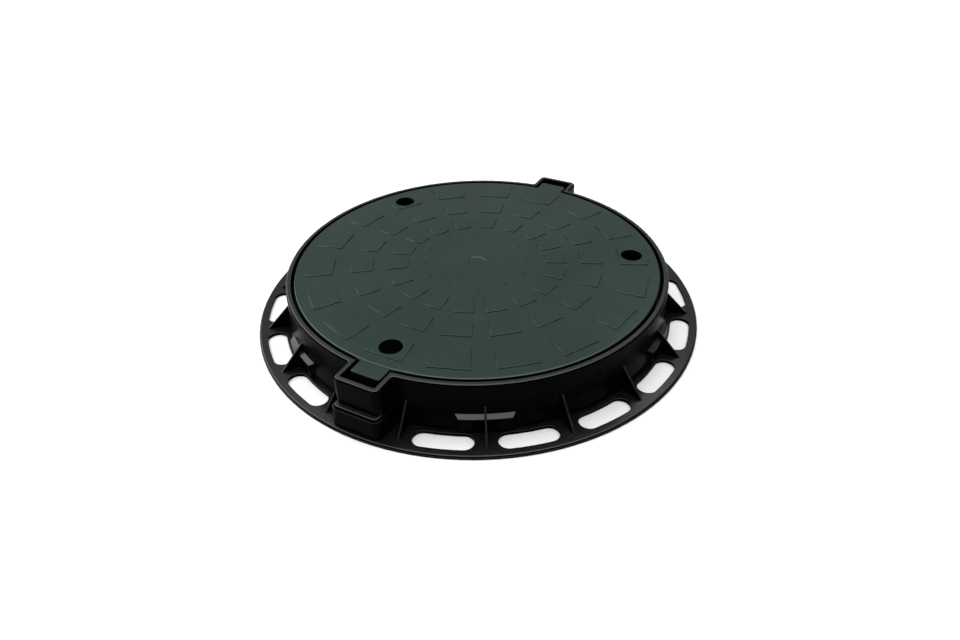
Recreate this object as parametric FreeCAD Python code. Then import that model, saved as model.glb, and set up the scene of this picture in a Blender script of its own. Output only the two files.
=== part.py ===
import FreeCAD
import Part

import math
import os

from FreeCAD import Vector

# Round plastic access cover: a ribbed lid that rests in a collar with a slotted flange.
# Millimetres. +Z up, origin at the centre of the flange's underside.
# The two ears of the collar, and the two tabs of the lid, lie on the Y axis.

# Lid
LID_R = 305.5
LID_H = 44.4
LID_BEVEL = 3.0
PLATE_T = 6.0
SKIRT_T = 6.0
SKIRT_DRAFT = 2.5
LID_RIB_T = 4.0
LID_RIB_RISE = 10.4
HUB_RIB_R = 60.0
MID_RIB_R = 163.0

# Lid tabs
TAB_W = 50.0
TAB_L = 25.5
TAB_T = 10.0
TAB_DROP = 1.5
TAB_CORNER_R = 5.0
TAB_BEVEL = 1.5

# Raised paving pattern, from the lid's edge inwards
SECTORS = 18
TILE_H = 1.7
TILE_DRAFT = 0.7
TILE_GAP_DEG = 7.4
TILE_BORDER = 19.5
TILE_LENGTHS = (45.0, 36.0, 35.0)
TILE_SPACES = (30.0, 24.0)

# Marks inside the pattern
DOT_COUNT = 12
DOT_SIDES = 8
DOT_R = 3.0
DOT_DEPTH = 0.8
DOT_SPACE = 28.0
GATE_R = 16.0
GATE_DEPTH = 1.0
GATE_DRAFT = 1.5

# Lifting holes, in three tiles of the outer ring
HOLE_COUNT = 3
HOLE_R = 17.8

# Fit of the lid in the frame
LID_GAP = 4.9
LID_PROUD = 0.4
TAB_SIDE_GAP = 4.2
PRY_GAP = 17.0

# Frame collar
RIM_T = 8.6
RIM_BEVEL = 2.5
FLARE = 4.5
FLARE_DROP = 24.0

# Ears that hold the pry pockets
EAR_T = 8.4
EAR_CORNER_R = 10.0
EAR_ROOT_R = 3.0
POCKET_CORNER_R = 3.0
POCKET_ROOT_R = 2.0
EAR_STEP = 10.0
EAR_SIDE_STEP = 3.0
EAR_DRAFT = 2.0
EAR_FOOT_CORNER_R = 12.0
EAR_FOOT_BEVEL = 4.0
EAR_HOLLOW_CORNER_R = 6.0

# Seat under the lid, and the lip round the throat
SEAT_Z = 40.0
SEAT_T = 6.0
SEAT_W = 25.4
LIP_T = 5.0
LOWER_T = 6.0
FRAME_RIB_T = 4.0

# Flange with anchor slots
FLANGE_T = 5.5
FLANGE_BEVEL = 2.5
SLOT_INSET = 2.5
SLOT_W = 30.5
SLOT_BRIDGE_DEG = 5.4
FLANGE_MARGIN = 13.5

# Gussets, and the pads on every third one
GUSSET_T = 3.0
GUSSET_RISE = 41.5
GUSSET_REACH = 36.0
PAD_EVERY = 3
PAD_DROP = 10.0
PAD_PROUD = 5.0
PAD_FALL = 5.4
PAD_L = 77.0
PAD_END_SLANT = 6.5

# Directions of the two ears, seen from above
EAR_AXES = (-90.0, 90.0)

# Depth that one feature runs into the next where they are fused, and what counts as level
BITE = 1.0
LEVEL_TOL = 1e-4

# Worked-out sizes
FIRST_AXIS = EAR_AXES[0]
PITCH = 360.0 / SECTORS
LID_TOP = SEAT_Z + LID_H
PLATE_Z = LID_TOP - PLATE_T
RIM_Z = LID_TOP - LID_PROUD
RIM_IN_R = LID_R + LID_GAP
RIM_OUT_R = RIM_IN_R + RIM_T
FOOT_R = RIM_OUT_R + FLARE
FLARE_Z = RIM_Z - FLARE_DROP
PAD_R = FOOT_R + PAD_PROUD
PAD_Z = SEAT_Z - PAD_DROP
SLOT_IN_R = PAD_R + SLOT_INSET
SLOT_MID_R = SLOT_IN_R + SLOT_W / 2
FLANGE_R = SLOT_IN_R + SLOT_W + FLANGE_MARGIN
THROAT_R = RIM_IN_R - SEAT_W
SEAT_UNDER_Z = SEAT_Z - SEAT_T
TAB_REACH = LID_R + TAB_L
POCKET_HALF_W = TAB_W / 2 + TAB_SIDE_GAP
POCKET_REACH = TAB_REACH + PRY_GAP
EAR_HALF_W = POCKET_HALF_W + EAR_T
EAR_REACH = POCKET_REACH + EAR_T
EAR_FOOT_HALF_W = EAR_HALF_W + EAR_SIDE_STEP
EAR_FOOT_REACH = EAR_REACH + EAR_STEP
AXIS_Z = Vector(0, 0, 1)


def polar(r, deg, z=0.0):
    a = math.radians(deg)
    return Vector(r * math.cos(a), r * math.sin(a), z)


def turned(shape, deg):
    copy = shape.copy()
    copy.rotate(Vector(), AXIS_Z, deg)
    return copy


def line(a, b):
    return Part.LineSegment(a, b).toShape()


def arc(a, middle, b):
    return Part.Arc(a, middle, b).toShape()


def prism(edges, z0, z1):
    face = Part.Face(Part.Wire(edges))
    face.translate(Vector(0, 0, z0))
    return face.extrude(Vector(0, 0, z1 - z0))


def lathe(section):
    """Turned solid from (radius, height) points."""
    points = [Vector(r, 0, z) for r, z in section]
    return Part.Face(Part.makePolygon(points + points[:1])).revolve(Vector(), AXIS_Z, 360)


def rounded(r, z, size):
    """Section points of a two-step bevel, close to a quarter round, at an outer top corner."""
    step = (1 - math.sqrt(0.5)) * size
    return [(r, z - size), (r - step, z - step), (r - size, z)]


def ring(r0, r1, z0, z1):
    outer = Part.makeCylinder(r1, z1 - z0, Vector(0, 0, z0))
    return outer.cut(Part.makeCylinder(r0, z1 - z0, Vector(0, 0, z0)))


def radial_web(thickness, profile, deg):
    """Upright plate of the given thickness, with a profile of (radius, height) points."""
    points = [Vector(r, -thickness / 2, z) for r, z in profile]
    face = Part.Face(Part.makePolygon(points + points[:1]))
    return turned(face.extrude(Vector(0, thickness, 0)), deg)


def rib_angles():
    return [FIRST_AXIS + (k + 0.5) * PITCH for k in range(SECTORS)]


def on_arc(centre, r, deg):
    return centre + polar(r, deg)


def lobed_outline(r, half_w, reach, corner_r, root_r):
    """Circle with a round-cornered lobe at each end of the Y axis."""
    root_x = half_w + root_r
    root = Vector(root_x, math.sqrt((r + root_r) ** 2 - root_x**2), 0)
    root_deg = math.degrees(math.atan2(root.y, root.x))
    on_circle = polar(r, root_deg)
    root_mid = on_arc(root, root_r, (180 + 180 + root_deg) / 2)
    on_side = Vector(half_w, root.y, 0)
    corner = Vector(half_w - corner_r, reach - corner_r, 0)
    corner_start = on_arc(corner, corner_r, 0)
    corner_mid = on_arc(corner, corner_r, 45)
    corner_end = on_arc(corner, corner_r, 90)

    def flipped(v, sx, sy):
        return Vector(v.x * sx, v.y * sy, 0)

    edges = []
    for sy in (1, -1):
        for sx in (1, -1):
            edges += [
                arc(*[flipped(p, sx, sy) for p in (on_circle, root_mid, on_side)]),
                line(flipped(on_side, sx, sy), flipped(corner_start, sx, sy)),
                arc(*[flipped(p, sx, sy) for p in (corner_start, corner_mid, corner_end)]),
            ]
        edges.append(line(flipped(corner_end, 1, sy), flipped(corner_end, -1, sy)))
    for sx in (1, -1):
        ends = [flipped(on_circle, sx, sy) for sy in (1, -1)]
        edges.append(arc(ends[0], Vector(sx * r, 0, 0), ends[1]))
    return Part.__sortEdges__(edges)


def tongue_outline(half_w, inner, reach, corner_r, z):
    """Closed outline from a straight root at y = inner to a round-cornered end at y = reach."""
    right = Vector(half_w - corner_r, reach - corner_r, z)
    left = Vector(-right.x, right.y, z)
    points = [
        Vector(half_w, inner, z),
        on_arc(right, corner_r, 0),
        on_arc(right, corner_r, 45),
        on_arc(right, corner_r, 90),
        on_arc(left, corner_r, 90),
        on_arc(left, corner_r, 135),
        on_arc(left, corner_r, 180),
        Vector(-half_w, inner, z),
    ]
    return Part.Wire(
        [
            line(points[0], points[1]),
            arc(points[1], points[2], points[3]),
            line(points[3], points[4]),
            arc(points[4], points[5], points[6]),
            line(points[6], points[7]),
            line(points[7], points[0]),
        ]
    )


def level_edges(shape, z):
    """Edges that lie flat at height z."""
    found = []
    for edge in shape.Edges:
        box = edge.BoundBox
        if abs(box.ZMin - z) < LEVEL_TOL and abs(box.ZMax - z) < LEVEL_TOL:
            found.append(edge)
    return found


# Lid


def lid_shell():
    """Plate and skirt in one turned section."""
    under_r = LID_R - SKIRT_DRAFT
    skirt_in_r = under_r - SKIRT_T
    section = [(0, PLATE_Z), (skirt_in_r, PLATE_Z), (skirt_in_r, SEAT_Z), (under_r, SEAT_Z)]
    section += rounded(LID_R, LID_TOP, LID_BEVEL)
    section += [(0, LID_TOP)]
    return lathe(section)


def ring_rib(r, z0, z1):
    """Ring of straight webs that join the radial ribs' centre lines."""
    loops = []
    for mid_r in (r + LID_RIB_T / 2, r - LID_RIB_T / 2):
        corners = [polar(mid_r, deg, z0) for deg in rib_angles()]
        loops.append(Part.Face(Part.makePolygon(corners + corners[:1])))
    return loops[0].cut(loops[1]).extrude(Vector(0, 0, z1 - z0))


def lid_ribs():
    """Ring and radial ribs under the plate."""
    rib_z = SEAT_Z + LID_RIB_RISE
    top_z = PLATE_Z + BITE
    skirt_r = LID_R - SKIRT_DRAFT - SKIRT_T + BITE
    profile = [(HUB_RIB_R, rib_z), (skirt_r, rib_z), (skirt_r, top_z), (HUB_RIB_R, top_z)]
    ribs = [ring_rib(r, rib_z, top_z) for r in (HUB_RIB_R, MID_RIB_R)]
    return ribs + [radial_web(LID_RIB_T, profile, deg) for deg in rib_angles()]


def lid_tab(deg):
    """Tab that lies in the ear's pocket, a little lower than the plate."""
    top = LID_TOP - TAB_DROP
    root = LID_R - SKIRT_DRAFT - SKIRT_T / 2
    outline = tongue_outline(TAB_W / 2, root, TAB_REACH, TAB_CORNER_R, top - TAB_T)
    tab = Part.Face(outline).extrude(Vector(0, 0, TAB_T))
    outer = [e for e in level_edges(tab, top) if e.BoundBox.YMax > root + BITE]
    return turned(tab.makeChamfer(TAB_BEVEL, outer), deg - 90)


def tile_rings():
    """Inner and outer radius of each ring of tiles, outermost first."""
    rings = []
    outer = LID_R - TILE_BORDER
    for length, space in zip(TILE_LENGTHS, TILE_SPACES + (0.0,)):
        rings.append((outer - length, outer))
        outer -= length + space
    return rings


def tile(r0, r1):
    """Raised block with radial sides, drawn in all round by its draft."""
    slope = math.tan(math.radians((PITCH - TILE_GAP_DEG) / 2))

    def outline(inset, z):
        a, b = r0 + inset, r1 - inset
        corners = [(a, slope * a - inset), (b, slope * b - inset)]
        points = [Vector(x, -y, z) for x, y in corners]
        return points + [Vector(x, y, z) for x, y in reversed(corners)]

    bury = TILE_DRAFT * BITE / TILE_H
    foot = outline(-bury, LID_TOP - BITE)
    crown = outline(TILE_DRAFT, LID_TOP + TILE_H)
    loops = [foot, crown]
    for k in range(len(foot)):
        loops.append([foot[k - 1], foot[k], crown[k], crown[k - 1]])
    faces = [Part.Face(Part.makePolygon(loop + loop[:1])) for loop in loops]
    return Part.Solid(Part.Shell(faces))


def paving():
    tiles = []
    for r0, r1 in tile_rings():
        block = tile(r0, r1)
        tiles += [turned(block, FIRST_AXIS + k * PITCH) for k in range(SECTORS)]
    return tiles


def lifting_hole_axes():
    r0, r1 = tile_rings()[0]
    return [polar((r0 + r1) / 2, FIRST_AXIS + k * 360 / HOLE_COUNT) for k in range(HOLE_COUNT)]


def lid_marks():
    """Shallow dots round the bare middle, and the round gate mark at the centre."""
    dot_ring_r = tile_rings()[-1][0] - DOT_SPACE
    marks = []
    corners = [polar(DOT_R, k * 360 / DOT_SIDES) for k in range(DOT_SIDES)]
    dot = Part.Face(Part.makePolygon(corners + corners[:1])).extrude(Vector(0, 0, DOT_DEPTH + BITE))
    for k in range(DOT_COUNT):
        mark = dot.copy()
        mark.translate(polar(dot_ring_r, k * 360 / DOT_COUNT, LID_TOP - DOT_DEPTH))
        marks.append(mark)
    gate_z = Vector(0, 0, LID_TOP - GATE_DEPTH)
    marks.append(Part.makeCone(GATE_R - GATE_DRAFT, GATE_R, GATE_DEPTH, gate_z))
    return marks


def make_lid():
    lid = lid_shell().multiFuse(lid_ribs() + [lid_tab(deg) for deg in EAR_AXES] + paving())
    cuts = lid_marks()
    for axis in lifting_hole_axes():
        cuts.append(Part.makeCylinder(HOLE_R, LID_H + TILE_H, axis + Vector(0, 0, SEAT_Z)))
    return lid.cut(cuts).removeSplitter()


# Frame


def well():
    """Space above the seat that the lid drops into, with the two pry pockets."""
    outline = lobed_outline(RIM_IN_R, POCKET_HALF_W, POCKET_REACH, POCKET_CORNER_R, POCKET_ROOT_R)
    return prism(outline, SEAT_Z, RIM_Z + BITE)


def collar():
    """Upright wall from the seat to the rim, with the ears, still solid inside."""
    outline = lobed_outline(RIM_OUT_R, EAR_HALF_W, EAR_REACH, EAR_CORNER_R, EAR_ROOT_R)
    block = prism(outline, SEAT_UNDER_Z, RIM_Z)
    return block.makeChamfer(RIM_BEVEL, level_edges(block, RIM_Z))


def flange_and_wall():
    """Flange and flared lower wall in one turned section, still solid inside."""
    section = [
        (0, 0),
        (FLANGE_R, 0),
        (FLANGE_R, FLANGE_T - FLANGE_BEVEL),
        (FLANGE_R - FLANGE_BEVEL, FLANGE_T),
        (FOOT_R, FLANGE_T),
        (RIM_OUT_R, FLARE_Z),
        (0, FLARE_Z),
    ]
    return lathe(section)


def ear_foot(deg):
    """Wider block under an ear, drawn in towards its top."""
    root = (THROAT_R + RIM_OUT_R) / 2
    base = tongue_outline(
        EAR_FOOT_HALF_W + EAR_DRAFT, root, EAR_FOOT_REACH + EAR_DRAFT, EAR_FOOT_CORNER_R, 0.0
    )
    top = tongue_outline(EAR_FOOT_HALF_W, root, EAR_FOOT_REACH, EAR_FOOT_CORNER_R, SEAT_Z)
    block = Part.makeLoft([base, top], True, True)
    outer = [e for e in level_edges(block, SEAT_Z) if e.BoundBox.YMax > root + BITE]
    return turned(block.makeChamfer(EAR_FOOT_BEVEL, outer), deg - 90)


def ear_hollow(deg):
    """Space under the pocket's floor, open downwards."""
    root = (THROAT_R + RIM_OUT_R) / 2
    half_w = EAR_FOOT_HALF_W - LOWER_T
    outline = tongue_outline(half_w, root, EAR_FOOT_REACH - LOWER_T, EAR_HOLLOW_CORNER_R, 0.0)
    return turned(Part.Face(outline).extrude(Vector(0, 0, SEAT_UNDER_Z)), deg - 90)


def pad_block(r0, half0, r1, half1, z):
    """Block on the wall with concentric inner and outer faces, and slanted ends."""
    deg0 = math.degrees(math.asin(half0 / r0))
    deg1 = math.degrees(math.asin(half1 / r1))
    edges = [
        arc(polar(r0, -deg0), polar(r0, 0), polar(r0, deg0)),
        line(polar(r0, deg0), polar(r1, deg1)),
        arc(polar(r1, deg1), polar(r1, 0), polar(r1, -deg1)),
        line(polar(r1, -deg1), polar(r0, -deg0)),
    ]
    return prism(edges, 0.0, z)


def pads():
    """Blocks at the wall's foot, with tops that slope down to their faces."""
    half = PAD_L / 2
    block = pad_block(RIM_OUT_R - BITE, half + PAD_END_SLANT, PAD_R, half, SEAT_Z)
    slope = PAD_FALL / (PAD_R - RIM_OUT_R)
    ridge_r = RIM_OUT_R - 2 * BITE
    ridge_z = PAD_Z + slope * (PAD_R - ridge_r)
    section = [
        (0, 0),
        (PAD_R + BITE, 0),
        (PAD_R + BITE, PAD_Z - slope * BITE),
        (ridge_r, ridge_z),
        (0, ridge_z),
    ]
    block = block.common(lathe(section))
    return [turned(block, deg) for deg in rib_angles()[1::PAD_EVERY]]


def pad_hollows():
    half = PAD_L / 2 - LOWER_T
    inner_r = RIM_OUT_R - LOWER_T - BITE
    hollow = pad_block(inner_r, half + PAD_END_SLANT, PAD_R - LOWER_T, half, PAD_Z - LOWER_T)
    return [turned(hollow, deg) for deg in rib_angles()[1::PAD_EVERY]]


def gussets():
    """Outside plates that brace the wall against the flange."""
    wall_r = FOOT_R - FLARE * GUSSET_RISE / (FLARE_Z - FLANGE_T)
    foot_r = FOOT_R + GUSSET_REACH
    inner_r = RIM_OUT_R - RIM_T / 2
    inner_rise = GUSSET_RISE * (foot_r - inner_r) / (foot_r - wall_r)
    profile = [
        (inner_r, FLANGE_T - BITE),
        (foot_r, FLANGE_T - BITE),
        (foot_r, FLANGE_T),
        (inner_r, FLANGE_T + inner_rise),
    ]
    return [radial_web(GUSSET_T, profile, deg) for deg in rib_angles()]


def seat_ribs():
    """Webs under the seat, between the lip and the wall; longer ones inside the pads."""
    lip_r = THROAT_R + LIP_T - BITE
    wall_r = RIM_OUT_R - LOWER_T + BITE
    top = SEAT_UNDER_Z + BITE
    pad_r = PAD_R - LOWER_T + BITE
    pad_top = PAD_Z - LOWER_T + BITE
    plain = [(lip_r, 0), (wall_r, 0), (wall_r, top), (lip_r, top)]
    padded = [(lip_r, 0), (pad_r, 0), (pad_r, pad_top), (wall_r, pad_top), (wall_r, top), (lip_r, top)]
    ribs = []
    for k, deg in enumerate(rib_angles()):
        profile = padded if k % PAD_EVERY == 1 else plain
        ribs.append(radial_web(FRAME_RIB_T, profile, deg))
    return ribs


def slots():
    """Round-ended openings that follow the flange, left out where an ear stands."""
    half_deg = (PITCH - SLOT_BRIDGE_DEG) / 2
    end_r = SLOT_W / 2
    end_deg = half_deg - math.degrees(end_r / SLOT_MID_R)
    ear_deg = math.degrees(math.asin((EAR_FOOT_HALF_W + EAR_DRAFT) / SLOT_IN_R))
    inner_r = SLOT_MID_R - end_r
    outer_r = SLOT_MID_R + end_r
    ends = [polar(SLOT_MID_R, side * end_deg) for side in (-1, 1)]
    edges = [
        arc(polar(inner_r, -end_deg), polar(inner_r, 0), polar(inner_r, end_deg)),
        arc(polar(inner_r, end_deg), on_arc(ends[1], end_r, end_deg + 90), polar(outer_r, end_deg)),
        arc(polar(outer_r, end_deg), polar(outer_r, 0), polar(outer_r, -end_deg)),
        arc(polar(outer_r, -end_deg), on_arc(ends[0], end_r, -end_deg - 90), polar(inner_r, -end_deg)),
    ]
    slot = prism(edges, -BITE, FLANGE_T + BITE)
    found = []
    for k in range(SECTORS):
        from_ear = min(k * PITCH % 180, -k * PITCH % 180)
        if from_ear > half_deg + ear_deg:
            found.append(turned(slot, FIRST_AXIS + k * PITCH))
    return found


def make_frame():
    blocks = [collar()] + [ear_foot(deg) for deg in EAR_AXES] + pads()
    throat = Part.makeCylinder(THROAT_R, SEAT_Z)
    channel = ring(THROAT_R + LIP_T, RIM_OUT_R - LOWER_T, 0.0, SEAT_UNDER_Z)
    hollows = [well(), throat, channel] + [ear_hollow(deg) for deg in EAR_AXES] + pad_hollows()
    frame = flange_and_wall().multiFuse(blocks).cut(hollows)
    return frame.multiFuse(gussets() + seat_ribs()).cut(slots()).removeSplitter()


os.makedirs("parts", exist_ok=True)
make_lid().exportStep("parts/lid.step")
make_frame().exportStep("parts/frame.step")
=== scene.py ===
"""Dresses a round plastic access cover: eased edges, moulded plastic, floor, light and camera."""
import math

import bmesh
import bpy
from bpy.props import FloatProperty, FloatVectorProperty, IntProperty, PointerProperty
from mathutils import Matrix, Vector


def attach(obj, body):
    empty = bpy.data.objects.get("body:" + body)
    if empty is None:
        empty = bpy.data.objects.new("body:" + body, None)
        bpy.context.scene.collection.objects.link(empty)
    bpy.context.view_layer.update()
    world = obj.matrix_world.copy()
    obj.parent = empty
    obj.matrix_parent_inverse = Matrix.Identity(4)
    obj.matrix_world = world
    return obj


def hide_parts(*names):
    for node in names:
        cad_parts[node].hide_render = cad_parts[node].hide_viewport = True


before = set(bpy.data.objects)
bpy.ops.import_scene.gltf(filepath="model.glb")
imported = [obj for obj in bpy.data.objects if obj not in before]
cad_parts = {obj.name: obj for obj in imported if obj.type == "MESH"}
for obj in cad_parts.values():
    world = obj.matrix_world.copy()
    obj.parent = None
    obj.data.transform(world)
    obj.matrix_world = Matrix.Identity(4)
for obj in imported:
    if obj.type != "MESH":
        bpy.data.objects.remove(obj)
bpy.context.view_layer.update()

bl_info = {
    "name": "Access Cover",
    "version": (1, 0, 0),
    "blender": (4, 5, 0),
    "location": "3D View > Sidebar > Access Cover",
    "description": "Gives a round lid and its frame eased edges and moulded plastic, and sets the stage",
    "category": "Object",
}

# Points closer than this are one point, and faces that turn by less than this are one face.
MERGE_DISTANCE = 1e-5
FLAT_ANGLE = math.radians(0.4)

# Outer edges that turn by more than a crease are rounded. On the frame, those that turn by less than the
# side of a bevel lie beside one.
CREASE_ANGLE = math.radians(24)
BEVEL_SIDE_ANGLE = math.radians(58)
ROUND_PROFILE = 0.5

# Edges that turn by more than this are shaded sharp, first those left plain, then those of each rounded
# piece. On the lid, the corners where two roundings meet stay soft.
SHARP_ANGLE = math.radians(32)
LID_SHARP_ANGLE = math.radians(100)
FRAME_SHARP_ANGLE = math.radians(42)

# Faces that turn by more than this are folded over.
FOLD_ANGLE = math.radians(150)
MOST_FOLDS = 60

# A paving block's upright edge reaches above this height in metres, and rises by this part of its length.
PAVING_FOOT = 0.0848
UPRIGHT_SLOPE = 0.7

# The frame's materials, by their place in its list.
FRAME_SHADED_WALL, FRAME_EDGE = 1, 2

# The walls' painted shade, a darker copy of the plastic that mirrors almost nothing, is on faces whose
# normal
# rises by less than this: on rounded edges below the rim, at the height of the gussets, and elsewhere,
# where it takes in the faces of bevels.
ROUNDED_SHADE_RISE = 0.35
GUSSET_SHADE_RISE = 0.6
PLAIN_SHADE_RISE = 0.74
RIM_FOOT = 0.078
GUSSET_HEIGHTS = (0.006, 0.035)

# The mould's grain, as depths of bump, and how much broad grain and slow waves add to the fine grain.
FACE_GRAIN = 0.00004
LID_EDGE_GRAIN = 0.000008
FRAME_EDGE_GRAIN = 0.00002
BROAD_GRAIN_PART = 0.8
WAVES_PART = 6.0

# Flow marks: how finely they part round the middle and change outwards, and what they do to the gloss.
STREAKS_ROUND = 16.0
STREAKS_OUTWARDS = 9.0
STREAK_RANGE = (0.25, 0.75)
STREAK_ROUGHNESS = 0.015

# Painted light and dust: rise of the normal over which the pale colour of level faces sets in, so that
# upright faces stay dark as painted shade, its clouds of random tone, and how it weakens low down, so that
# low faces are darker.
LEVEL_RISE = (0.35, 0.97)
CLOUD_RANGE = (0.3, 0.7)
CLOUD_LIT_PART = (0.8, 1.0)
FADING_HEIGHTS = (0.01, 0.07)
FADING_LIT_PART = (0.14, 1.0)
SPECK_RANGE = (0.69, 0.76)
SPECK_COLOUR = (0.19, 0.2, 0.19)
SPECK_COVER = 0.22

# Rubbed patches: turn and stretch of their streaks, and what they do to colour and gloss.
RUB_TURN = 0.6
RUB_STRETCH = (7.0, 60.0, 30.0)
RUB_STREAK_RANGE = (0.56, 0.72)
RUB_PATCH_RANGE = (0.48, 0.62)
RUB_COVER = 0.5
RUB_GAIN = 2.6
RUB_LIFT = 0.004
RUB_ROUGHNESS = 0.08

# How strongly the plastic mirrors, and the upright walls far less, as painted shade.
PLASTIC_IOR = 1.5
PLASTIC_SPECULAR = 0.42
SHADED_WALL_SPECULAR = 0.011

# The stage: the floor's finish and its faint clouds, brightness of the sky by the cosine of the angle from
# its axis, and the camera's sensor in millimetres.
FLOOR_ROUGHNESS = 0.9
FLOOR_SPECULAR = 0.2
FLOOR_SEGMENTS = 4
FLOOR_SHADE = 0.985
SKY_STOPS = ((0.0, 0.15), (0.4, 0.31), (0.7, 0.34), (0.8, 0.36), (0.85, 2.9), (1.0, 2.9))
SENSOR_WIDTH = 36.0

# Sockets of a Mix node that are for colours.
MIX_COLOUR_INPUTS = (6, 7)
MIX_COLOUR_OUTPUT = 2


class AccessCoverPlastic(bpy.types.PropertyGroup):
    """Edges and finish of the two mouldings"""

    corner_round: FloatProperty(
        name="Bevel rounding", description="Rounding on the two edges of each of the frame's bevels",
        default=0.0009, min=0.0001, max=0.003, unit="LENGTH", precision=4)
    edge_round: FloatProperty(
        name="Edge rounding", description="Rounding on the frame's plain corners",
        default=0.0006, min=0.0001, max=0.003, unit="LENGTH", precision=4)
    fine_round: FloatProperty(
        name="Lid rounding", description="Rounding on the edges of the lid and of its paving blocks",
        default=0.0004, min=0.0001, max=0.001, unit="LENGTH", precision=4)
    round_steps: IntProperty(
        name="Rounding steps", description="Faces across each rounded edge", default=3, min=1, max=6)
    lid_colour: FloatVectorProperty(
        name="Lid colour", description="The lid's plastic", default=(0.0022, 0.0032, 0.0028),
        min=0.0, max=1.0, size=3, subtype="COLOR")
    # Painted light: the pale colour painted on the lid's level faces; its upright faces keep the dark
    # colour as painted shade.
    lid_lit_colour: FloatVectorProperty(
        name="Lid film", description="Pale bloom on the lid's level faces",
        default=(0.0157, 0.0304, 0.0245), min=0.0, max=1.0, size=3, subtype="COLOR")
    lid_sheen: FloatVectorProperty(
        name="Lid sheen", description="Tint of what the lid mirrors", default=(0.78, 1.0, 0.94),
        min=0.0, max=1.0, size=3, subtype="COLOR")
    frame_sheen: FloatVectorProperty(
        name="Frame sheen", description="Tint of what the frame mirrors", default=(0.92, 1.0, 0.99),
        min=0.0, max=1.0, size=3, subtype="COLOR")
    frame_colour: FloatVectorProperty(
        name="Frame colour", description="The frame's plastic", default=(0.0030, 0.0034, 0.0033),
        min=0.0, max=1.0, size=3, subtype="COLOR")
    # Painted light: the pale colour painted on the frame's level faces; its upright faces keep the dark
    # colour as painted shade.
    frame_lit_colour: FloatVectorProperty(
        name="Frame film", description="Pale bloom on the frame's level faces",
        default=(0.0155, 0.0174, 0.0170), min=0.0, max=1.0, size=3, subtype="COLOR")
    # Painted shade: a darker copy of the frame's plastic, put on its upright walls.
    shaded_wall_colour: FloatVectorProperty(
        name="Wall colour", description="The frame's plastic on its upright walls",
        default=(0.0010, 0.0011, 0.0011), min=0.0, max=1.0, size=3, subtype="COLOR")
    grain_size: FloatProperty(
        name="Grain size", description="Size of the fine moulded grain",
        default=0.0011, min=0.0002, max=0.01, unit="LENGTH", precision=4)
    wall_grain_size: FloatProperty(
        name="Wall grain size", description="Size of the coarser grain on the upright walls",
        default=0.0019, min=0.0002, max=0.01, unit="LENGTH", precision=4)


class AccessCoverStage(bpy.types.PropertyGroup):
    """Floor, light and camera"""

    floor_colour: FloatVectorProperty(
        name="Floor", description="The floor's colour", default=(0.93, 0.93, 0.925),
        min=0.0, max=1.0, size=3, subtype="COLOR")
    floor_size: FloatProperty(
        name="Floor size", description="Side of the square floor", default=16.0, min=2.0, unit="LENGTH")
    sky_axis: FloatVectorProperty(
        name="Sky axis", description="Direction of the brightest part of the sky",
        default=(-0.0418, 0.0765, 0.9962), size=3, subtype="DIRECTION")
    side_light_power: FloatProperty(
        name="Side light", description="Power of the soft box at the left",
        default=43.0, min=0.0, unit="POWER")
    side_light_size: FloatProperty(
        name="Side light size", description="Side of the soft box at the left",
        default=2.4, min=0.1, unit="LENGTH")
    side_light_place: FloatVectorProperty(
        name="Side light place", description="Where the soft box at the left stands",
        default=(-2.18, -0.33, 1.35), size=3, subtype="TRANSLATION")
    back_light_power: FloatProperty(
        name="Back light", description="Power of the soft box behind", default=0.75, min=0.0, unit="POWER")
    corner_light_power: FloatProperty(
        name="Corner light", description="Power of the soft box behind at the left",
        default=0.35, min=0.0, unit="POWER")
    back_light_size: FloatProperty(
        name="Back light size", description="Side of each soft box behind",
        default=0.3, min=0.1, unit="LENGTH")
    back_light_place: FloatVectorProperty(
        name="Back light place", description="Where the soft box behind stands",
        default=(0.06, 1.62, 1.61), size=3, subtype="TRANSLATION")
    corner_light_place: FloatVectorProperty(
        name="Corner light place", description="Where the soft box behind at the left stands",
        default=(-1.335, 0.825, 1.635), size=3, subtype="TRANSLATION")
    camera_place: FloatVectorProperty(
        name="Camera", description="Where the camera stands", default=(0.5119, -0.9321, 0.7373),
        size=3, subtype="TRANSLATION")
    camera_aim: FloatVectorProperty(
        name="Aim", description="Point in the middle of the picture", default=(0.00288, 0.00157, -0.0389),
        size=3, subtype="TRANSLATION")
    camera_roll: FloatProperty(
        name="Roll", description="Turn of the camera about its own axis", default=-0.022, subtype="ANGLE")
    lens: FloatProperty(
        name="Lens", description="Focal length on a sensor 36 mm wide",
        default=27.48, min=5.0, unit="CAMERA")


def feed(tree, socket, value):
    """Gives a socket its value, which is another socket, a number or a vector."""
    if isinstance(value, bpy.types.NodeSocket):
        tree.links.new(value, socket)
    else:
        socket.default_value = value


def mixed(tree, factor, first, second):
    """A colour between two, each a colour or a socket."""
    node = tree.nodes.new("ShaderNodeMix")
    node.data_type = "RGBA"
    tree.links.new(factor, node.inputs["Factor"])
    for index, colour in zip(MIX_COLOUR_INPUTS, (first, second)):
        is_socket = isinstance(colour, bpy.types.NodeSocket)
        feed(tree, node.inputs[index], colour if is_socket else (*colour, 1.0))
    return node.outputs[MIX_COLOUR_OUTPUT]


def reckoned(tree, operation, first, second):
    """The result of one sum on two values, each a number or a socket."""
    node = tree.nodes.new("ShaderNodeMath")
    node.operation = operation
    feed(tree, node.inputs[0], first)
    feed(tree, node.inputs[1], second)
    return node.outputs["Value"]


def vector_node(tree, operation, first, second=None):
    """The outputs of one sum on a vector, or on two, each a vector or a socket."""
    node = tree.nodes.new("ShaderNodeVectorMath")
    node.operation = operation
    feed(tree, node.inputs[0], first)
    if second is not None:
        feed(tree, node.inputs[1], second)
    return node.outputs


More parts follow.
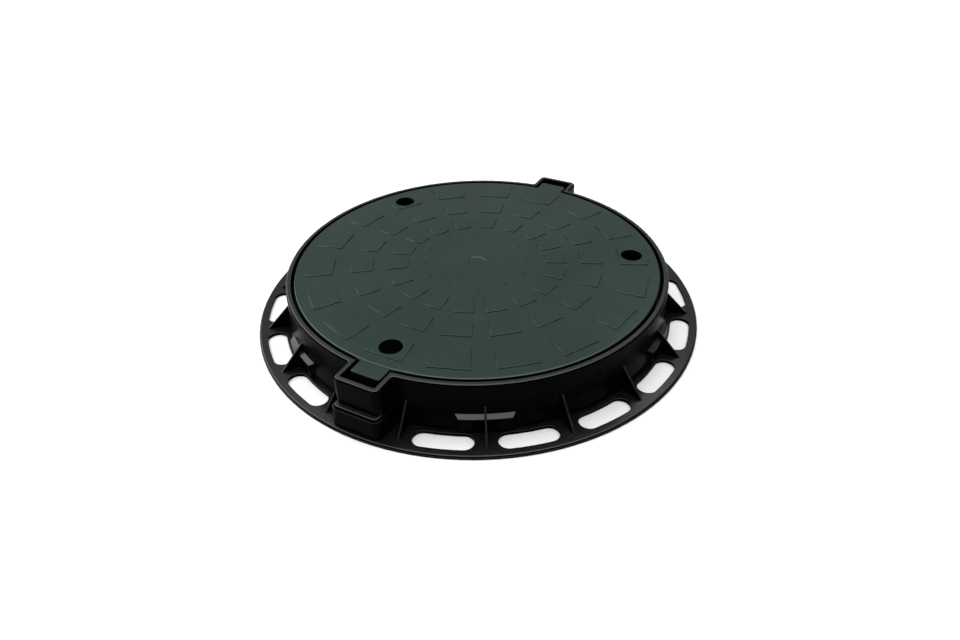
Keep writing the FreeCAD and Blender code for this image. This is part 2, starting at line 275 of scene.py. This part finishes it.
def ranged(tree, value, source, target=(0.0, 1.0)):
    """A value moved smoothly from one range to another."""
    node = tree.nodes.new("ShaderNodeMapRange")
    node.interpolation_type = "SMOOTHSTEP"
    tree.links.new(value, node.inputs["Value"])
    for name, number in zip(("From Min", "From Max", "To Min", "To Max"), (*source, *target)):
        node.inputs[name].default_value = number
    return node.outputs["Result"]


def noise(tree, place, scale, detail, roughness):
    """Noise at a place; its scale is a number or a socket."""
    node = tree.nodes.new("ShaderNodeTexNoise")
    for name, value in (("Vector", place), ("Scale", scale), ("Detail", detail), ("Roughness", roughness)):
        feed(tree, node.inputs[name], value)
    return node.outputs["Fac"]


def new_group(name, inputs, outputs):
    """An empty node group with its sockets, and its two end nodes."""
    tree = bpy.data.node_groups.new(name, "ShaderNodeTree")
    for label, kind in inputs:
        tree.interface.new_socket(label, in_out="INPUT", socket_type=kind)
    for label in outputs:
        tree.interface.new_socket(label, in_out="OUTPUT", socket_type="NodeSocketFloat")
    return tree, tree.nodes.new("NodeGroupInput").outputs, tree.nodes.new("NodeGroupOutput").inputs


def moulded_grain_group():
    """Fine grain that the mould leaves, and the slow waves of a plate that shrank, as a height."""
    tree, given, result = new_group(
        "moulded_grain", (("Place", "NodeSocketVector"), ("Size", "NodeSocketFloat")), ("Height",))
    fine_scale = reckoned(tree, "DIVIDE", 1.0, given["Size"])
    fine = noise(tree, given["Place"], scale=fine_scale, detail=3.0, roughness=0.55)
    broad = noise(tree, given["Place"], scale=55.0, detail=2.0, roughness=0.5)
    waves = noise(tree, given["Place"], scale=9.0, detail=1.0, roughness=0.4)
    grain = reckoned(tree, "ADD", fine, reckoned(tree, "MULTIPLY", broad, BROAD_GRAIN_PART))
    height = reckoned(tree, "ADD", grain, reckoned(tree, "MULTIPLY", waves, WAVES_PART))
    tree.links.new(height, result["Height"])


def flow_marks_group():
    """Faint streaks that run outwards from the middle, as the plastic flowed."""
    tree, given, result = new_group("flow_marks", (("Place", "NodeSocketVector"),), ("Streaks",))
    level = vector_node(tree, "MULTIPLY", given["Place"], (1.0, 1.0, 0.0))["Vector"]
    reach = vector_node(tree, "LENGTH", level)["Value"]
    heading = vector_node(tree, "NORMALIZE", level)["Vector"]
    spread = vector_node(tree, "MULTIPLY", heading, (STREAKS_ROUND, STREAKS_ROUND, STREAKS_ROUND))["Vector"]
    along = tree.nodes.new("ShaderNodeCombineXYZ")
    tree.links.new(reckoned(tree, "MULTIPLY", reach, STREAKS_OUTWARDS), along.inputs["Z"])
    place = vector_node(tree, "ADD", spread, along.outputs["Vector"])["Vector"]
    tree.links.new(noise(tree, place, scale=1.0, detail=4.0, roughness=0.6), result["Streaks"])


def painted_light_and_dust_group():
    """Where the pale colour is painted on level faces as light, in clouds and stronger higher up, with
    upright faces left dark as painted shade, and dust on upward faces.
    """
    tree, given, result = new_group("painted_light_and_dust", (("Place", "NodeSocketVector"),), ("Painted_light", "Specks"))
    facing = tree.nodes.new("ShaderNodeSeparateXYZ")
    tree.links.new(tree.nodes.new("ShaderNodeNewGeometry").outputs["Normal"], facing.inputs["Vector"])
    upward = ranged(tree, facing.outputs["Z"], LEVEL_RISE)
    level = ranged(tree, reckoned(tree, "ABSOLUTE", facing.outputs["Z"], 0.0), LEVEL_RISE)
    cloud_noise = noise(tree, given["Place"], scale=9.0, detail=5.0, roughness=0.6)
    clouds = ranged(tree, cloud_noise, CLOUD_RANGE, CLOUD_LIT_PART)
    height = tree.nodes.new("ShaderNodeSeparateXYZ")
    tree.links.new(given["Place"], height.inputs["Vector"])
    faded = ranged(tree, height.outputs["Z"], FADING_HEIGHTS, FADING_LIT_PART)
    # Painted light by facing: level faces get the pale colour, in clouds of random tone and weaker low
    # down.
    lit_colour = reckoned(tree, "MULTIPLY", reckoned(tree, "MULTIPLY", level, clouds), faded)
    tree.links.new(lit_colour, result["Painted_light"])
    speck_noise = noise(tree, given["Place"], scale=620.0, detail=2.0, roughness=0.5)
    specks = ranged(tree, speck_noise, SPECK_RANGE)
    tree.links.new(reckoned(tree, "MULTIPLY", specks, upward), result["Specks"])


def rubbed_group():
    """Where handling and stacking have rubbed the plastic, as thin drawn-out patches."""
    tree, given, result = new_group("rubbed", (("Place", "NodeSocketVector"),), ("Rubbed",))
    drawn = tree.nodes.new("ShaderNodeMapping")
    drawn.inputs["Rotation"].default_value = (0.0, 0.0, RUB_TURN)
    drawn.inputs["Scale"].default_value = RUB_STRETCH
    tree.links.new(given["Place"], drawn.inputs["Vector"])
    streak_noise = noise(tree, drawn.outputs["Vector"], scale=1.6, detail=4.0, roughness=0.65)
    patch_noise = noise(tree, given["Place"], scale=5.0, detail=3.0, roughness=0.5)
    streaks = ranged(tree, streak_noise, RUB_STREAK_RANGE)
    patches = ranged(tree, patch_noise, RUB_PATCH_RANGE)
    tree.links.new(reckoned(tree, "MULTIPLY", streaks, patches), result["Rubbed"])


def placed(tree, group, place, **values):
    """A node group put in a material, at a place, with its own values."""
    node = tree.nodes.new("ShaderNodeGroup")
    node.node_tree = group
    tree.links.new(place, node.inputs["Place"])
    for label, value in values.items():
        node.inputs[label].default_value = value
    return node.outputs


def moulded_plastic(name, colour, lit_colour, tint, roughness, grain_size, grain_height, specular):
    """Dark moulded plastic: a pale colour painted on its level faces as light, its upright faces left dark
    as painted shade, grain, flow streaks and rubbed patches.
    """
    material = bpy.data.materials.new(name)
    material.use_nodes = True
    tree = material.node_tree
    shader = tree.nodes["Principled BSDF"]
    shader.inputs["IOR"].default_value = PLASTIC_IOR
    shader.inputs["Specular IOR Level"].default_value = specular
    shader.inputs["Specular Tint"].default_value = (*tint, 1.0)
    place = tree.nodes.new("ShaderNodeTexCoord").outputs["Object"]
    groups = bpy.data.node_groups
    grain = placed(tree, groups["moulded_grain"], place, Size=grain_size)["Height"]
    streaks = placed(tree, groups["flow_marks"], place)["Streaks"]
    light_and_dust = placed(tree, groups["painted_light_and_dust"], place)
    rubbed = placed(tree, groups["rubbed"], place)["Rubbed"]

    rubbed_colour = [RUB_GAIN * part + RUB_LIFT for part in colour]
    bare = mixed(tree, reckoned(tree, "MULTIPLY", rubbed, RUB_COVER), colour, rubbed_colour)
    # Painted light on level faces, painted shade on upright ones.
    painted_lit = mixed(tree, light_and_dust["Painted_light"], bare, lit_colour)
    specks = reckoned(tree, "MULTIPLY", light_and_dust["Specks"], SPECK_COVER)
    tree.links.new(mixed(tree, specks, painted_lit, SPECK_COLOUR), shader.inputs["Base Color"])

    around = (roughness - STREAK_ROUGHNESS, roughness + STREAK_ROUGHNESS)
    streaked = ranged(tree, streaks, STREAK_RANGE, around)
    rougher = reckoned(tree, "ADD", streaked, reckoned(tree, "MULTIPLY", rubbed, RUB_ROUGHNESS))
    tree.links.new(rougher, shader.inputs["Roughness"])

    bump = tree.nodes.new("ShaderNodeBump")
    bump.inputs["Strength"].default_value = 1.0
    bump.inputs["Distance"].default_value = grain_height
    tree.links.new(grain, bump.inputs["Height"])
    tree.links.new(bump.outputs["Normal"], shader.inputs["Normal"])
    return material


def merged_copy(node):
    """The node's mesh as a bmesh: its triangles merged, and joined again where they lie flat."""
    mesh = bmesh.new()
    mesh.from_mesh(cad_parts[node].data)
    bmesh.ops.remove_doubles(mesh, verts=mesh.verts, dist=MERGE_DISTANCE)
    bmesh.ops.dissolve_limit(mesh, angle_limit=FLAT_ANGLE, verts=mesh.verts, edges=mesh.edges)
    mesh.normal_update()
    return mesh


def turns_more(edge, angle):
    """Whether an edge joins two faces that turn by more than an angle."""
    return edge.is_manifold and edge.calc_face_angle() > angle


def clear_folds(data, sharp_angle):
    """Clears a rounded mesh of doubled points, empty faces and folded slivers, and marks sharp edges."""
    mesh = bmesh.new()
    mesh.from_mesh(data)
    bmesh.ops.remove_doubles(mesh, verts=mesh.verts, dist=MERGE_DISTANCE)
    bmesh.ops.dissolve_degenerate(mesh, dist=MERGE_DISTANCE, edges=mesh.edges)
    for _ in range(MOST_FOLDS):
        mesh.normal_update()
        fold = next((edge for edge in mesh.edges if turns_more(edge, FOLD_ANGLE)), None)
        if fold is None:
            break
        sliver = min(fold.link_faces, key=lambda face: face.calc_area())
        ends = min(sliver.edges, key=lambda edge: edge.calc_length()).verts
        stays = max(ends, key=lambda vert: sum(face.calc_area() for face in vert.link_faces))
        bmesh.ops.pointmerge(mesh, verts=ends, merge_co=stays.co)
    for edge in mesh.edges:
        if turns_more(edge, sharp_angle):
            edge.smooth = False
    mesh.to_mesh(data)
    mesh.free()


def weighted_mesh(node, name, rounding):
    """A copy of the node's mesh, with a bevel weight on each edge that is to be rounded."""
    plastic = bpy.context.scene.access_cover_plastic
    mesh = merged_copy(node)
    weights = mesh.edges.layers.float.new("bevel_weight_edge")
    for edge in mesh.edges:
        if not edge.is_manifold:
            continue
        angle = edge.calc_face_angle()
        edge.smooth = angle < SHARP_ANGLE
        if edge.is_convex and angle >= CREASE_ANGLE:
            size = rounding(plastic, edge)
            edge[weights] = size / plastic.corner_round
            edge.smooth = edge.smooth or size > 0.0
    for face in mesh.faces:
        face.smooth = True
    data = bpy.data.meshes.new(name)
    mesh.to_mesh(data)
    mesh.free()
    if "custom_normal" in data.attributes:
        data.attributes.remove(data.attributes["custom_normal"])
    return data


def eased_piece(node, name, materials, rounding, sharp_angle):
    """A moulding that stands for a CAD node, its edges rounded in the last of its materials."""
    plastic = bpy.context.scene.access_cover_plastic
    data = weighted_mesh(node, name, rounding)
    for material in materials:
        data.materials.append(material)
    piece = bpy.data.objects.new(name, data)
    bpy.context.scene.collection.objects.link(piece)
    bevel = piece.modifiers.new("eased_edges", "BEVEL")
    bevel.limit_method = "WEIGHT"
    bevel.width = plastic.corner_round
    bevel.segments = plastic.round_steps
    bevel.profile = ROUND_PROFILE
    bevel.use_clamp_overlap = False
    bevel.material = len(materials) - 1
    rounded = piece.evaluated_get(bpy.context.evaluated_depsgraph_get())
    piece.data = bpy.data.meshes.new_from_object(rounded)
    bpy.data.meshes.remove(data)
    piece.data.name = name
    piece.modifiers.remove(bevel)
    clear_folds(piece.data, sharp_angle)
    even = piece.modifiers.new("even_shading", "WEIGHTED_NORMAL")
    even.keep_sharp = True
    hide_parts(node)
    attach(piece, "root")
    return piece


class ACCESSCOVER_OT_finishes(bpy.types.Operator):
    """Builds the finishes that the two mouldings share"""

    bl_idname = "access_cover.finishes"
    bl_label = "Plastic Finishes"

    def execute(self, context):
        moulded_grain_group()
        flow_marks_group()
        painted_light_and_dust_group()
        rubbed_group()
        return {"FINISHED"}


class ACCESSCOVER_OT_lid(bpy.types.Operator):
    """Makes the paved lid with its tabs"""

    bl_idname = "access_cover.lid"
    bl_label = "Lid"

    def execute(self, context):
        plastic = context.scene.access_cover_plastic
        shared = {
            "colour": plastic.lid_colour,
            "lit_colour": plastic.lid_lit_colour,
            "tint": plastic.lid_sheen,
            "grain_size": plastic.grain_size,
            "specular": PLASTIC_SPECULAR,
        }
        face = moulded_plastic("lid_face", roughness=0.2, grain_height=FACE_GRAIN, **shared)
        edge = moulded_plastic("lid_edge", roughness=0.3, grain_height=LID_EDGE_GRAIN, **shared)
        piece = eased_piece("lid", "paved_lid", (face, edge), self.rounding, LID_SHARP_ANGLE)
        return {"FINISHED"}

    @staticmethod
    def rounding(plastic, edge):
        """How far an edge is rounded back: not at all on a paving block's upright edges."""
        low, high = sorted(vert.co.z for vert in edge.verts)
        is_upright = high - low > UPRIGHT_SLOPE * edge.calc_length()
        return 0.0 if is_upright and high > PAVING_FOOT else plastic.fine_round


class ACCESSCOVER_OT_frame(bpy.types.Operator):
    """Makes the ground frame: collar, ears, slotted flange and gussets"""

    bl_idname = "access_cover.frame"
    bl_label = "Ground Frame"

    def execute(self, context):
        plastic = context.scene.access_cover_plastic
        shared = {
            "colour": plastic.frame_colour,
            "lit_colour": plastic.frame_lit_colour,
            "tint": plastic.frame_sheen,
            "grain_size": plastic.grain_size,
            "specular": PLASTIC_SPECULAR,
        }
        face = moulded_plastic("frame_face", roughness=0.22, grain_height=FACE_GRAIN, **shared)
        # The walls' material is painted shade: a darker copy of the plastic that mirrors almost nothing.
        wall = moulded_plastic(
            "frame_shaded_wall", plastic.shaded_wall_colour, plastic.shaded_wall_colour, plastic.frame_sheen, roughness=0.24,
            grain_size=plastic.wall_grain_size, grain_height=FACE_GRAIN, specular=SHADED_WALL_SPECULAR)
        edge = moulded_plastic("frame_edge", roughness=0.2, grain_height=FRAME_EDGE_GRAIN, **shared)
        piece = eased_piece("frame", "ground_frame", (face, wall, edge), self.rounding, FRAME_SHARP_ANGLE)
        # Faces turned sideways get the walls' painted shade.
        for side in piece.data.polygons:
            if self.is_shaded_wall(abs(side.normal.z), side.center.z, side.material_index == FRAME_EDGE):
                side.material_index = FRAME_SHADED_WALL
        return {"FINISHED"}

    @staticmethod
    def rounding(plastic, edge):
        """How far an edge is rounded back: more beside a bevel."""
        is_bevel_side = edge.calc_face_angle() < BEVEL_SIDE_ANGLE
        return plastic.corner_round if is_bevel_side else plastic.edge_round

    @staticmethod
    def is_shaded_wall(rise, height, is_rounded):
        """Whether a face has the walls' painted shade, by the rise of its normal, its height and its
        rounding.
        """
        if is_rounded and height < RIM_FOOT:
            return rise < ROUNDED_SHADE_RISE
        if GUSSET_HEIGHTS[0] < height < GUSSET_HEIGHTS[1]:
            return rise < GUSSET_SHADE_RISE
        return rise < PLAIN_SHADE_RISE


class ACCESSCOVER_OT_stage(bpy.types.Operator):
    """Sets out the floor, the soft light and the camera"""

    bl_idname = "access_cover.stage"
    bl_label = "Stage"

    def execute(self, context):
        stage = context.scene.access_cover_stage
        self.lay_floor(stage)
        self.hang_sky(context.scene, stage)
        self.stand_light(
            "side_soft_box", stage.side_light_power, stage.side_light_size, stage.side_light_place)
        self.stand_light(
            "back_soft_box", stage.back_light_power, stage.back_light_size, stage.back_light_place)
        self.stand_light(
            "corner_soft_box", stage.corner_light_power, stage.back_light_size, stage.corner_light_place)
        self.stand_camera(context.scene, stage)
        return {"FINISHED"}

    def lay_floor(self, stage):
        """Lays a pale, faintly clouded floor."""
        material = bpy.data.materials.new("pale_floor")
        material.use_nodes = True
        tree = material.node_tree
        shader = tree.nodes["Principled BSDF"]
        shader.inputs["Roughness"].default_value = FLOOR_ROUGHNESS
        shader.inputs["Specular IOR Level"].default_value = FLOOR_SPECULAR
        place = tree.nodes.new("ShaderNodeTexCoord").outputs["Object"]
        clouds = ranged(tree, noise(tree, place, scale=1.3, detail=3.0, roughness=0.5), CLOUD_RANGE)
        darker = [FLOOR_SHADE * part for part in stage.floor_colour]
        tree.links.new(mixed(tree, clouds, stage.floor_colour, darker), shader.inputs["Base Color"])
        mesh = bmesh.new()
        bmesh.ops.create_grid(
            mesh, x_segments=FLOOR_SEGMENTS, y_segments=FLOOR_SEGMENTS, size=stage.floor_size / 2)
        data = bpy.data.meshes.new("floor")
        mesh.to_mesh(data)
        mesh.free()
        data.materials.append(material)
        floor = bpy.data.objects.new("floor", data)
        bpy.context.scene.collection.objects.link(floor)

    def hang_sky(self, scene, stage):
        """Hangs a sky that is bright overhead, and plain white where the camera sees it."""
        world = bpy.data.worlds.new("studio_sky")
        world.use_nodes = True
        tree = world.node_tree
        sky = tree.nodes["Background"]
        heading = tree.nodes.new("ShaderNodeTexCoord").outputs["Generated"]
        height = vector_node(tree, "DOT_PRODUCT", heading, stage.sky_axis)["Value"]
        ramp = tree.nodes.new("ShaderNodeValToRGB")
        while len(ramp.color_ramp.elements) < len(SKY_STOPS):
            ramp.color_ramp.elements.new(1.0)
        for element, (place, light) in zip(ramp.color_ramp.elements, SKY_STOPS):
            element.position = place
            element.color = (light, light, light, 1.0)
        tree.links.new(height, ramp.inputs["Fac"])
        tree.links.new(ramp.outputs["Color"], sky.inputs["Color"])
        pale = tree.nodes.new("ShaderNodeBackground")
        pale.inputs["Color"].default_value = (1.0, 1.0, 1.0, 1.0)
        seen = tree.nodes.new("ShaderNodeMixShader")
        tree.links.new(tree.nodes.new("ShaderNodeLightPath").outputs["Is Camera Ray"], seen.inputs["Fac"])
        tree.links.new(sky.outputs[0], seen.inputs[1])
        tree.links.new(pale.outputs[0], seen.inputs[2])
        tree.links.new(seen.outputs[0], tree.nodes["World Output"].inputs["Surface"])
        scene.world = world
        scene.view_settings.view_transform = "Standard"

    def stand_light(self, name, power, size, place):
        """Stands a square soft box at a place, facing the middle of the part's foot."""
        lamp = bpy.data.lights.new(name, "AREA")
        lamp.energy = power
        lamp.size = size
        box = bpy.data.objects.new(name, lamp)
        place = Vector(place)
        turn = (-place).to_track_quat("-Z", "Y").to_matrix().to_4x4()
        box.matrix_world = Matrix.Translation(place) @ turn
        bpy.context.scene.collection.objects.link(box)

    def stand_camera(self, scene, stage):
        """Stands the camera and aims it."""
        data = bpy.data.cameras.new("camera")
        data.sensor_width = SENSOR_WIDTH
        data.sensor_fit = "HORIZONTAL"
        data.lens = stage.lens
        camera = bpy.data.objects.new("camera", data)
        place = Vector(stage.camera_place)
        turn = (Vector(stage.camera_aim) - place).to_track_quat("-Z", "Y").to_matrix()
        turn = turn @ Matrix.Rotation(stage.camera_roll, 3, "Z")
        camera.matrix_world = Matrix.Translation(place) @ turn.to_4x4()
        scene.collection.objects.link(camera)
        scene.camera = camera


class ACCESSCOVER_PT_panel(bpy.types.Panel):
    """Lists the pieces and the stage"""

    bl_idname = "ACCESSCOVER_PT_panel"
    bl_label = "Access Cover"
    bl_space_type = "VIEW_3D"
    bl_region_type = "UI"
    bl_category = "Access Cover"

    def draw(self, context):
        for operator in OPERATORS:
            self.layout.operator(operator.bl_idname)
        for group in (context.scene.access_cover_plastic, context.scene.access_cover_stage):
            box = self.layout.box()
            for name in group.__annotations__:
                box.prop(group, name)


OPERATORS = (ACCESSCOVER_OT_finishes, ACCESSCOVER_OT_lid, ACCESSCOVER_OT_frame, ACCESSCOVER_OT_stage)
CLASSES = (AccessCoverPlastic, AccessCoverStage, *OPERATORS, ACCESSCOVER_PT_panel)


def register():
    for kind in CLASSES:
        bpy.utils.register_class(kind)
    bpy.types.Scene.access_cover_plastic = PointerProperty(type=AccessCoverPlastic)
    bpy.types.Scene.access_cover_stage = PointerProperty(type=AccessCoverStage)


def unregister():
    del bpy.types.Scene.access_cover_stage
    del bpy.types.Scene.access_cover_plastic
    for kind in reversed(CLASSES):
        bpy.utils.unregister_class(kind)


def main():
    register()
    bpy.ops.access_cover.finishes()
    bpy.ops.access_cover.lid()
    bpy.ops.access_cover.frame()
    bpy.ops.access_cover.stage()


if __name__ == "__main__":
    main()
